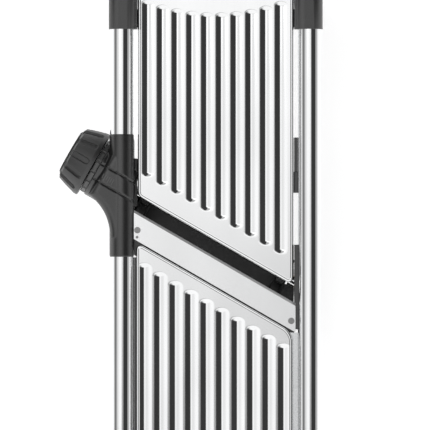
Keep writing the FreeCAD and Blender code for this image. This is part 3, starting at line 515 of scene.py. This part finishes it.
def index_ring():
    """The ring behind the knob: a flat facet for each click, with notches between them."""
    places = np.array(RING_PLACES) + RING_BACK
    turn = np.arange(AROUND) * 2 * math.pi / AROUND
    sector = 2 * math.pi / CLICKS
    z, angle = np.meshgrid(places, turn, indexing="ij")
    aside = (angle + sector / 2) % sector - sector / 2
    facet = RING_RADIUS * math.cos(sector / 2) / np.cos(aside)
    notch = smoothstep(sector / 2 - NOTCH_HALF[0], sector / 2 - NOTCH_HALF[1], np.abs(aside))
    half = RING_THICK / 2
    rim = smoothstep(half - RING_EDGE, half, np.abs(z - RING_BACK - half))
    radius = facet - NOTCH_DEPTH * notch * (1 - rim) - RING_BEVEL * rim
    outside = np.stack((radius * np.cos(angle), radius * np.sin(angle), z), -1)
    inside = ((RING_BORE, RING_BACK), (RING_BORE, RING_BACK + RING_THICK))
    points, faces = closed_ring(outside, inside)
    add_piece("index_ring_facets", points, faces, SHAFT, "frame",
              materials["ring"], ("index_ring",))


knob_grip()
index_ring()

# Housing: the CAD solid with softened edges, a sloping flank and a band for the scale

VOXEL = 0.5
SOFTEN_ROUNDS = 3
SHELL_WELD = 0.00001
NODE_WELD = 0.000005
BEVEL_FROM = math.radians(40)
# The ridge runs between these places in the deck, and the flank beyond it falls away.
RIDGE_FROM = np.array((-75.3, 63.1))
RIDGE_TO = np.array((-61.2, 77.4))
RIDGE_TOP = 7.6
FLANK_SLOPE = 0.9
FLANK_LOW = -4
SLEEVE_WALL = 0.3
SLEEVE_FROM_V = 70
INNER_LOW = 1.5
# Two lines beside the scale, at these distances from the shaft.
BAND = (-7.8, 3.3)
# Half of a line's width, at its floor and at its brim.
LINE_HALF = (0.25, 0.85)
LINE_DEPTH = 0.9
LINE_FROM = (58, 60)
LINE_LOW = 2
TICKS = 6
TICK_FIRST = 84.5
TICK_PITCH = 1.5
TICK_ENDS = (-5.8, -4.6)
TICK_START = -1.4
TICK_HALF = 0.3
TICK_HEIGHTS = (7.5, 7.8)


def deck_points(mesh):
    """The vertices of a mesh in the design frame."""
    places = np.array([vertex.co[:] for vertex in mesh.vertices])
    inverse = np.array(DECK.inverted())
    return places @ inverse[:3, :3].T + inverse[:3, 3]


def set_deck_points(mesh, points):
    """Move the vertices of a mesh to places in the design frame."""
    matrix = np.array(DECK)
    mesh.vertices.foreach_set("co", (points @ matrix[:3, :3].T + matrix[:3, 3]).ravel())
    mesh.update()


def remeshed(node, name):
    """A copy of a CAD node as an even mesh with softened edges."""
    copy = bpy.data.objects.new(name, nodes[node].data.copy())
    scene.collection.objects.link(copy)
    weld = copy.modifiers.new("weld", "WELD")
    weld.merge_threshold = SHELL_WELD
    even = copy.modifiers.new("even", "REMESH")
    even.mode = "VOXEL"
    even.voxel_size = VOXEL * MM
    soften = copy.modifiers.new("soften", "SMOOTH")
    soften.factor = 0.5
    soften.iterations = SOFTEN_ROUNDS
    depsgraph = bpy.context.evaluated_depsgraph_get()
    mesh = bpy.data.meshes.new_from_object(copy.evaluated_get(depsgraph))
    mesh.name = name
    copy.modifiers.clear()
    copy.data = mesh
    for polygon in mesh.polygons:
        polygon.use_smooth = True
    return copy


def shape_housing():
    """The housing with a sloping flank, a round inner side and two lines beside the scale."""
    shell = remeshed("knob_housing", "housing_shell")
    points = deck_points(shell.data)
    u, v, w = points.T
    ridge = (RIDGE_TO - RIDGE_FROM) / np.linalg.norm(RIDGE_TO - RIDGE_FROM)
    aside = (v - RIDGE_FROM[1]) * ridge[0] - (u - RIDGE_FROM[0]) * ridge[1]
    flank_top = RIDGE_TOP - np.maximum(aside, 0) * FLANK_SLOPE
    sleeve = TUBE_RADIUS + SLEEVE_WALL
    over_tube = np.sqrt(np.maximum(sleeve ** 2 - (u + HALF_TRACK) ** 2, 0))
    lowest = np.where(v > SLEEVE_FROM_V, over_tube, FLANK_LOW)
    on_flank = (aside > 0) & (w > FLANK_LOW)
    w = np.where(on_flank, np.minimum(w, np.maximum(flank_top, lowest)), w)
    inner_side = (u > -HALF_TRACK) & (w > 0)
    w = np.where(inner_side, np.minimum(w, np.maximum(over_tube, INNER_LOW)), w)
    over = u * SIN + v * COS - SHAFT_P
    along = -u * COS + v * SIN
    for place in BAND:
        cut = 1 - smoothstep(*LINE_HALF, np.abs(over - place))
        w = w - LINE_DEPTH * cut * (w > LINE_LOW) * smoothstep(*LINE_FROM, along)
    set_deck_points(shell.data, np.stack((u, v, w), 1))
    shell.data.materials.clear()
    shell.data.materials.append(materials["nylon"])
    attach(shell, "frame")
    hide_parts("knob_housing")


def scale_ticks():
    """Plain raised lines on the outer half of the band."""
    points = []
    faces = []
    for number in range(TICKS):
        along = TICK_FIRST + TICK_PITCH * number
        low = TICK_ENDS[number % 2]
        corners = ((low, along - TICK_HALF), (TICK_START, along - TICK_HALF),
                   (TICK_START, along + TICK_HALF), (low, along + TICK_HALF))
        first = len(points)
        for height in TICK_HEIGHTS:
            for over, place in corners:
                p = SHAFT_P + over
                points.append((p * SIN - place * COS, p * COS + place * SIN, height))
        faces.append(tuple(first + corner for corner in (3, 2, 1, 0)))
        faces.append(tuple(first + corner for corner in (4, 5, 6, 7)))
        for corner in range(4):
            after = (corner + 1) % 4
            faces.append((first + corner, first + after, first + after + 4, first + corner + 4))
    ticks = add_piece("scale_ticks", points, faces, DECK, "frame", materials["ring"])
    for polygon in ticks.data.polygons:
        polygon.use_smooth = False


shape_housing()
scale_ticks()

# Finishes and softened edges on the CAD nodes

FINISHES = {
    "tube": ("left_tube_upper", "left_tube_lower", "right_tube"),
    "leg": ("leg_tube",),
    "blade": ("main_blade",),
    # The rivets get the dark steel whose tone is painted shade of their holes.
    "rivet": ("blade_rivets",),
    "hardware": ("landing_rail_right", "bracket_screws",
                 "cover_screws", "detent_spring", "detent_ball", "knob_screw", "cam_shaft",
                 "cam_pins", "guide_posts", "leg_pin_left", "leg_pin_right"),
    "brass": ("right_bush", "left_bush"),
    "nylon": ("landing_rail_left", "handle_bridge", "lower_end_bridge", "blade_carrier",
              "right_end_bracket", "right_guide_bracket", "housing_cover", "knob_core",
              "leg_knuckle_left", "leg_knuckle_right"),
    "gloss": ("knob_cap", "chute_guard", "platform_frame"),
    "phosphated": ("shaft_clip",),
    "acetal": ("left_cam", "right_cam"),
    "grip": ("handle_grip",),
    "rubber": ("front_foot", "rear_foot_left", "rear_foot_right"),
}
EDGE_WIDTHS = {
    "lower_end_bridge": 0.8, "front_foot": 1.2, "right_end_bracket": 0.4,
    "right_guide_bracket": 0.5, "housing_cover": 0.4, "knob_cap": 0.5,
    "leg_knuckle_left": 0.5, "leg_knuckle_right": 0.5, "chute_guard": 0.3,
    "rear_foot_left": 0.6, "rear_foot_right": 0.6, "left_cam": 0.3, "right_cam": 0.3,
    "handle_bridge": 0.5, "handle_grip": 0.5, "platform_frame": 0.25, "blade_rivets": 0.15,
    "bracket_screws": 0.2, "cover_screws": 0.2, "knob_screw": 0.2,
}


def soften_edges(node, width):
    """Round the sharp edges of a CAD node with a modifier."""
    weld = node.modifiers.new("weld", "WELD")
    weld.merge_threshold = NODE_WELD
    bevel = node.modifiers.new("soft_edges", "BEVEL")
    bevel.width = width * MM
    bevel.segments = 2
    bevel.limit_method = "ANGLE"
    bevel.angle_limit = BEVEL_FROM
    bevel.harden_normals = True


for finish_name, names in FINISHES.items():
    for name in names:
        nodes[name].data.materials.clear()
        nodes[name].data.materials.append(materials[finish_name])
        if name in EDGE_WIDTHS:
            soften_edges(nodes[name], EDGE_WIDTHS[name])

# Floor, light and camera

FLOOR_HALF = 3.0
FLOOR_HEIGHT = -0.0004
FLOOR_GLOW = 0.62


def pale_floor():
    """A plain floor just under the object."""
    surface = Surface("pale_floor", Roughness=0.9, Emission_Color=(1, 1, 1, 1),
                      Emission_Strength=FLOOR_GLOW)
    grain = surface.noise(surface.mapping((3, 3, 3)), detail=2.0)
    surface.link(surface.tint(grain, (0.86,) * 3, (0.9,) * 3), "Base Color")
    mesh = bpy.data.meshes.new("floor")
    corners = ((-FLOOR_HALF, -FLOOR_HALF, FLOOR_HEIGHT), (FLOOR_HALF, -FLOOR_HALF, FLOOR_HEIGHT),
               (FLOOR_HALF, FLOOR_HALF, FLOOR_HEIGHT), (-FLOOR_HALF, FLOOR_HALF, FLOOR_HEIGHT))
    mesh.from_pydata(corners, [], [(0, 1, 2, 3)])
    mesh.materials.append(surface.material)
    floor = bpy.data.objects.new("floor", mesh)
    scene.collection.objects.link(floor)


pale_floor()

# The studio: a white dome with dark flags, whose reflections are the dark bands on the steel.
# A flag is a list of (angle, darkness). Angles are from the deck's normal, in degrees. The grey
# patch is dark only where both of its lists are.
WHITE = 1.04
FLAG = 0.04
SIDE_FLAG = ((-180, 0), (-92, 0), (-82, 0.8), (-56, 0.85), (-44, 0.35), (-30, 0.15), (-22, 0),
             (7, 0), (12, 0.6), (18, 1), (54, 1), (62, 0.5), (78, 0.7), (92, 0.1), (180, 0))
TOP_FLAG = ((-180, 0), (12, 0), (22, 1), (48, 1), (58, 0), (180, 0))
GREY_SIDE = ((-180, 0), (-4, 0), (3, 1), (14, 1), (30, 0), (180, 0))
GREY_TOP = ((-180, 0), (-11, 0), (-8, 0.2), (-5, 0.75), (-3, 0.75), (1.5, 0), (180, 0))
# The side flag fades out down the deck, the top flag to the left, and all of them near the
# horizon, so that the object stands before plain white. Each pair is a fade's start and stop.
SIDE_FADE = (-0.2, -0.5)
TOP_FADE = (-0.25, -0.45)
HORIZON = (0.3, 0.12)


def angle_ramp(tree, across, out, stops):
    """A value by the angle of a direction, from two of its components."""
    angle = tree.nodes.new("ShaderNodeMath")
    angle.operation = "ARCTAN2"
    tree.links.new(across, angle.inputs[0])
    tree.links.new(out, angle.inputs[1])
    share = tree.nodes.new("ShaderNodeMapRange")
    share.inputs["From Min"].default_value = -math.pi
    share.inputs["From Max"].default_value = math.pi
    tree.links.new(angle.outputs["Value"], share.inputs["Value"])
    ramp = tree.nodes.new("ShaderNodeValToRGB")
    elements = ramp.color_ramp.elements
    while len(elements) < len(stops):
        elements.new(0.5)
    for element, (degrees, level) in zip(elements, stops):
        element.position = (degrees + 180) / 360
        element.color = (level, level, level, 1)
    tree.links.new(share.outputs["Result"], ramp.inputs["Fac"])
    return ramp.outputs["Color"]


def fade(tree, value, start, stop):
    """1 at start and 0 at stop."""
    spread = tree.nodes.new("ShaderNodeMapRange")
    spread.inputs["From Min"].default_value = start
    spread.inputs["From Max"].default_value = stop
    spread.inputs["To Min"].default_value = 1
    spread.inputs["To Max"].default_value = 0
    tree.links.new(value, spread.inputs["Value"])
    return spread.outputs["Result"]


def combine(tree, operation, first, second):
    """A math node on two values, each a node's output or a number."""
    node = tree.nodes.new("ShaderNodeMath")
    node.operation = operation
    for socket, value in zip(node.inputs, (first, second)):
        if isinstance(value, (int, float)):
            socket.default_value = value
        else:
            tree.links.new(value, socket)
    return node.outputs["Value"]


def studio_dome():
    """Light the world with the dome."""
    world = bpy.data.worlds.new("studio")
    world.use_nodes = True
    scene.world = world
    tree = world.node_tree
    place = tree.nodes.new("ShaderNodeTexCoord")
    turn = tree.nodes.new("ShaderNodeMapping")
    turn.inputs["Rotation"].default_value = ON_DECK
    tree.links.new(place.outputs["Generated"], turn.inputs["Vector"])
    split = tree.nodes.new("ShaderNodeSeparateXYZ")
    tree.links.new(turn.outputs["Vector"], split.inputs["Vector"])
    x, y, z = (split.outputs[axis] for axis in "XYZ")
    side = combine(tree, "MULTIPLY", angle_ramp(tree, x, z, SIDE_FLAG), fade(tree, y, *SIDE_FADE))
    top = combine(tree, "MULTIPLY", angle_ramp(tree, y, z, TOP_FLAG), fade(tree, x, *TOP_FADE))
    grey = combine(tree, "MULTIPLY", angle_ramp(tree, x, z, GREY_SIDE),
                   angle_ramp(tree, y, z, GREY_TOP))
    flags = combine(tree, "MAXIMUM", combine(tree, "MAXIMUM", side, top), grey)
    rise = tree.nodes.new("ShaderNodeSeparateXYZ")
    tree.links.new(place.outputs["Generated"], rise.inputs["Vector"])
    flags = combine(tree, "MULTIPLY", flags, fade(tree, rise.outputs["Z"], *HORIZON))
    level = combine(tree, "SUBTRACT", WHITE, combine(tree, "MULTIPLY", flags, WHITE - FLAG))
    tree.links.new(level, tree.nodes["Background"].inputs["Color"])


studio_dome()

SENSOR = 36
CAMERA_AWAY = 3000
FRAME_SIDE = 286.7
CAMERA_AIM = (-0.5, 28.2, 0)
# The places and sizes below are in metres.
CLIP_START = 0.1
CLIP_END = 20
KEY_PLACE = (-0.5, 0.5, 1.6)
KEY_AIM = (0, 0.19, 0.05)
KEY_SIZE = 1.2
KEY_POWER = 1.5


def add_camera():
    """A camera straight over the deck, FRAME_SIDE millimetres of which fill the picture."""
    data = bpy.data.cameras.new("camera")
    data.sensor_width = SENSOR
    data.lens = SENSOR * CAMERA_AWAY / FRAME_SIDE
    data.clip_start = CLIP_START
    data.clip_end = CLIP_END
    camera = bpy.data.objects.new("camera", data)
    scene.collection.objects.link(camera)
    camera.location = DECK @ Vector(CAMERA_AIM) + DECK_NORMAL * CAMERA_AWAY * MM
    camera.rotation_mode = "QUATERNION"
    camera.rotation_quaternion = (-DECK_NORMAL).to_track_quat("-Z", "Y")
    scene.camera = camera


def soft_light(name, place, aim, size, power):
    """A round area light that points at a place."""
    data = bpy.data.lights.new(name, "AREA")
    data.shape = "DISK"
    data.size = size
    data.energy = power
    light = bpy.data.objects.new(name, data)
    scene.collection.objects.link(light)
    light.location = place
    direction = Vector(aim) - Vector(place)
    light.rotation_mode = "QUATERNION"
    light.rotation_quaternion = direction.to_track_quat("-Z", "Y")


add_camera()
soft_light("key_light", KEY_PLACE, KEY_AIM, KEY_SIZE, KEY_POWER)
scene.view_settings.view_transform = "Standard"
